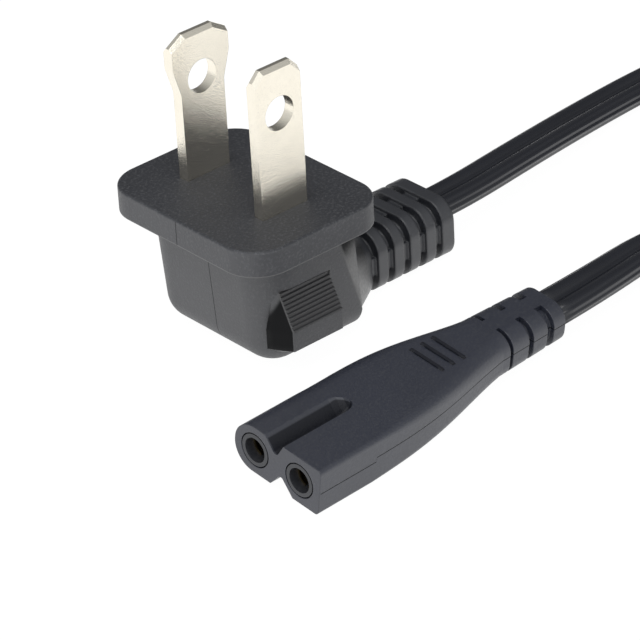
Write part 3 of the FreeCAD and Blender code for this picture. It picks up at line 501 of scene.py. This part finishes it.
PLUG_PLASTIC = plug_plastic()
CONNECTOR_PLASTIC = connector_plastic()
CORD_PLASTIC = cord_plastic()
BLADE_METAL = blade_metal()
CONTACT_METAL = contact_metal()
COPPER = copper()
INSERT_PLASTIC = insert_plastic()
TIE_STRAP = tie_strap()
FINISHES = {
    "plug_body": PLUG_PLASTIC,
    "line_blade": BLADE_METAL,
    "neutral_blade": BLADE_METAL,
    "plug_cord_end": CORD_PLASTIC,
    "plug_line_strands": COPPER,
    "plug_neutral_strands": COPPER,
    "cord_plug_run": CORD_PLASTIC,
    "cord_coil": CORD_PLASTIC,
    "coil_tie": TIE_STRAP,
    "cord_connector_run": CORD_PLASTIC,
    "connector_body": CONNECTOR_PLASTIC,
    "contact_insert": INSERT_PLASTIC,
    "line_contact": CONTACT_METAL,
    "neutral_contact": CONTACT_METAL,
    "connector_cord_end": CORD_PLASTIC,
    "connector_line_strands": COPPER,
    "connector_neutral_strands": COPPER,
}
for node_name, material in FINISHES.items():
    slots = cad[node_name].data.materials
    slots.clear()
    slots.append(material)


# Cord

def coil_points():
    """Control points of the coil: in along the floor layer, up, and back out along the upper layer."""
    inner = COIL_RADIUS - TURN_PITCH * LOW_END
    outer = inner + TURN_PITCH * (HIGH_END - CLIMB_END)
    points = []
    for i in range(int(COIL_TURNS * POINTS_PER_TURN) + 1):
        turn = i / POINTS_PER_TURN
        rise = smooth((turn - LOW_END) / (CLIMB_END - LOW_END))
        drop = smooth((turn - HIGH_END) / (COIL_TURNS - HIGH_END))
        if turn <= LOW_END:
            radius = COIL_RADIUS - TURN_PITCH * turn
        elif turn <= CLIMB_END:
            radius = inner
        elif turn <= HIGH_END:
            radius = inner + TURN_PITCH * (turn - CLIMB_END)
        else:
            radius = outer - LAST_STEP_IN * drop
        height = LAYER_LOW + (LAYER_HIGH - LAYER_LOW) * (rise - drop)
        angle = math.pi / 2 - 2 * math.pi * turn
        x = COIL_CENTRE[0] + radius * math.cos(angle)
        y = COIL_CENTRE[1] + radius * math.sin(angle)
        points.append((x, y, height))
    return points


def route_line(points):
    """Points along a NURBS spline through the route's control points, in metres."""
    data = bpy.data.curves.new("cord_route", "CURVE")
    data.dimensions = "3D"
    data.resolution_u = CURVE_STEPS
    spline = data.splines.new("NURBS")
    spline.points.add(len(points) - 1)
    for point, (x, y, height) in zip(spline.points, points):
        point.co = (x * MM, y * MM, (FLOOR + height) * MM, 1.0)
    spline.order_u = 3
    spline.use_endpoint_u = True
    curve = link(bpy.data.objects.new("cord_route", data))
    bpy.context.view_layer.update()
    mesh = bpy.data.meshes.new_from_object(curve)
    line = [v.co.copy() for v in mesh.vertices]
    bpy.data.meshes.remove(mesh)
    bpy.data.objects.remove(curve)
    return line


def cord_section():
    """Outline of the twin lead: two round leads with ridged outer sides and the web between them."""
    cut = math.pi - math.asin(WEB_HALF / LEAD_RADIUS)
    outline = []
    for side in (1, -1):
        for i in range(LEAD_STEPS + 1):
            angle = cut * (2 * i / LEAD_STEPS - 1)
            ridged = smooth((RIDGE_REACH - abs(angle)) / RIDGE_FADE)
            radius = LEAD_RADIUS - RIDGE_DEPTH / 2 * (1 - math.cos(RIDGES * angle)) * ridged
            out = LEAD_RADIUS + radius * math.cos(angle)
            up = radius * math.sin(angle)
            outline.append((side * out, side * up))
    return outline


def twist_along(line):
    """How far the cord has turned from flat at each point: on edge in the coil, rolled at the connector."""
    lengths = [0.0]
    for a, b in zip(line, line[1:]):
        lengths.append(lengths[-1] + (b - a).length)
    lead = (COIL_CENTRE[0] - COIL_LEAD) * MM
    inside = [i for i, p in enumerate(line) if p.x > lead]
    start = lengths[inside[0]]
    end = lengths[inside[-1]]
    reach = COIL_LEAD * MM
    turns = []
    for s in lengths:
        on_edge = smooth((s - start) / reach) * smooth((end - s) / reach)
        rolled = smooth((s - lengths[-1] + reach) / reach)
        turns.append(on_edge * math.pi / 2 - rolled * CONNECTOR_ROLL)
    return turns


def sweep_cord(name, line):
    section = cord_section()
    count = len(section)
    turns = twist_along(line)
    for point, turn in zip(line, turns):
        lowest = FLOOR + LEAD_RADIUS * (1 + abs(math.sin(turn)))
        point.z = max(point.z, lowest * MM)
    verts = []
    faces = []
    for i, point in enumerate(line):
        along = (line[min(i + 1, len(line) - 1)] - line[max(i - 1, 0)]).normalized()
        level = Vector((0, 0, 1)).cross(along).normalized()
        upright = along.cross(level)
        across = level * math.cos(turns[i]) + upright * math.sin(turns[i])
        over = along.cross(across)
        verts += [point + (across * u + over * v) * MM for u, v in section]
    for i in range(len(line) - 1):
        for j in range(count):
            a = i * count + j
            b = i * count + (j + 1) % count
            faces.append((a, b, b + count, a + count))
    faces.append(tuple(reversed(range(count))))
    faces.append(tuple(range((len(line) - 1) * count, len(line) * count)))
    mesh = bpy.data.meshes.new(name)
    mesh.from_pydata(verts, [], faces)
    mesh.update()
    for polygon in mesh.polygons[:-2]:
        polygon.use_smooth = True
    mesh.materials.append(CORD_PLASTIC)
    return link(bpy.data.objects.new(name, mesh))


cord_line = route_line(PLUG_ROUTE + coil_points() + CONNECTOR_ROUTE[::-1])
cord = sweep_cord("cord", cord_line)
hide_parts("cord_plug_run", "cord_coil", "cord_connector_run")
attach(cord, BODY)


# Floor and light

def floor_material():
    """White to the eye and in reflections, with a soft shadow left in."""
    n = Nodes("floor_white")
    path = n.tree.nodes.new("ShaderNodeLightPath")
    seen = n.math("ADD", path.outputs["Is Camera Ray"], path.outputs["Is Glossy Ray"])
    seen = n.math("MINIMUM", n.math("ADD", seen, path.outputs["Is Transmission Ray"]), 1.0)
    glow = n.tree.nodes.new("ShaderNodeEmission")
    glow.inputs["Color"].default_value = (1, 1, 1, 1)
    glow.inputs["Strength"].default_value = FLOOR_GLOW
    mix = n.tree.nodes.new("ShaderNodeMixShader")
    n.join(n.times(seen, GLOW_SHARE), mix.inputs["Fac"])
    n.finish(FLOOR_COLOUR, 0.9, specular=0.0)
    n.join(n.shader.outputs["BSDF"], mix.inputs[1])
    n.join(glow.outputs["Emission"], mix.inputs[2])
    n.join(mix.outputs["Shader"], n.output.inputs["Surface"])
    return n.material


def add_floor():
    mesh = bpy.data.meshes.new("floor")
    corners = [
        (-FLOOR_HALF, -FLOOR_HALF, FLOOR * MM),
        (FLOOR_HALF, -FLOOR_HALF, FLOOR * MM),
        (FLOOR_HALF, FLOOR_HALF, FLOOR * MM),
        (-FLOOR_HALF, FLOOR_HALF, FLOOR * MM),
    ]
    mesh.from_pydata(corners, [], [(0, 1, 2, 3)])
    mesh.materials.append(floor_material())
    link(bpy.data.objects.new("floor", mesh))


def add_world():
    """White to the eye; as a light, a dome, bright on the camera's left and dim behind the object."""
    world = bpy.data.worlds.new("world")
    world.use_nodes = True
    scene.world = world
    tree = world.node_tree
    direction = tree.nodes.new("ShaderNodeTexCoord")
    side = tree.nodes.new("ShaderNodeVectorMath")
    side.operation = "DOT_PRODUCT"
    side.inputs[1].default_value = DOME_DIM_SIDE
    tree.links.new(direction.outputs["Generated"], side.inputs[0])
    level = tree.nodes.new("ShaderNodeMapRange")
    level.inputs["From Min"].default_value = -1.0
    level.inputs["From Max"].default_value = DOME_DIM_FROM
    level.inputs["To Min"].default_value = DOME_BRIGHT
    level.inputs["To Max"].default_value = DOME_DIM
    tree.links.new(side.outputs["Value"], level.inputs["Value"])
    path = tree.nodes.new("ShaderNodeLightPath")
    seen = tree.nodes.new("ShaderNodeMix")
    tree.links.new(path.outputs["Is Camera Ray"], seen.inputs["Factor"])
    tree.links.new(level.outputs["Result"], seen.inputs["A"])
    seen.inputs["B"].default_value = 1.0
    back = tree.nodes["Background"]
    back.inputs["Color"].default_value = (*DOME_COLOUR, 1.0)
    tree.links.new(seen.outputs["Result"], back.inputs["Strength"])


def add_lamp():
    data = bpy.data.lights.new("overhead", "AREA")
    data.shape = "SQUARE"
    data.size = LAMP_SIZE
    data.energy = LAMP_WATTS
    light = link(bpy.data.objects.new("overhead", data))
    light.location = LAMP_SPOT
    light.rotation_euler = (-Vector(LAMP_SPOT)).to_track_quat("-Z", "Y").to_euler()


add_floor()
add_world()
add_lamp()
scene.view_settings.view_transform = "Standard"
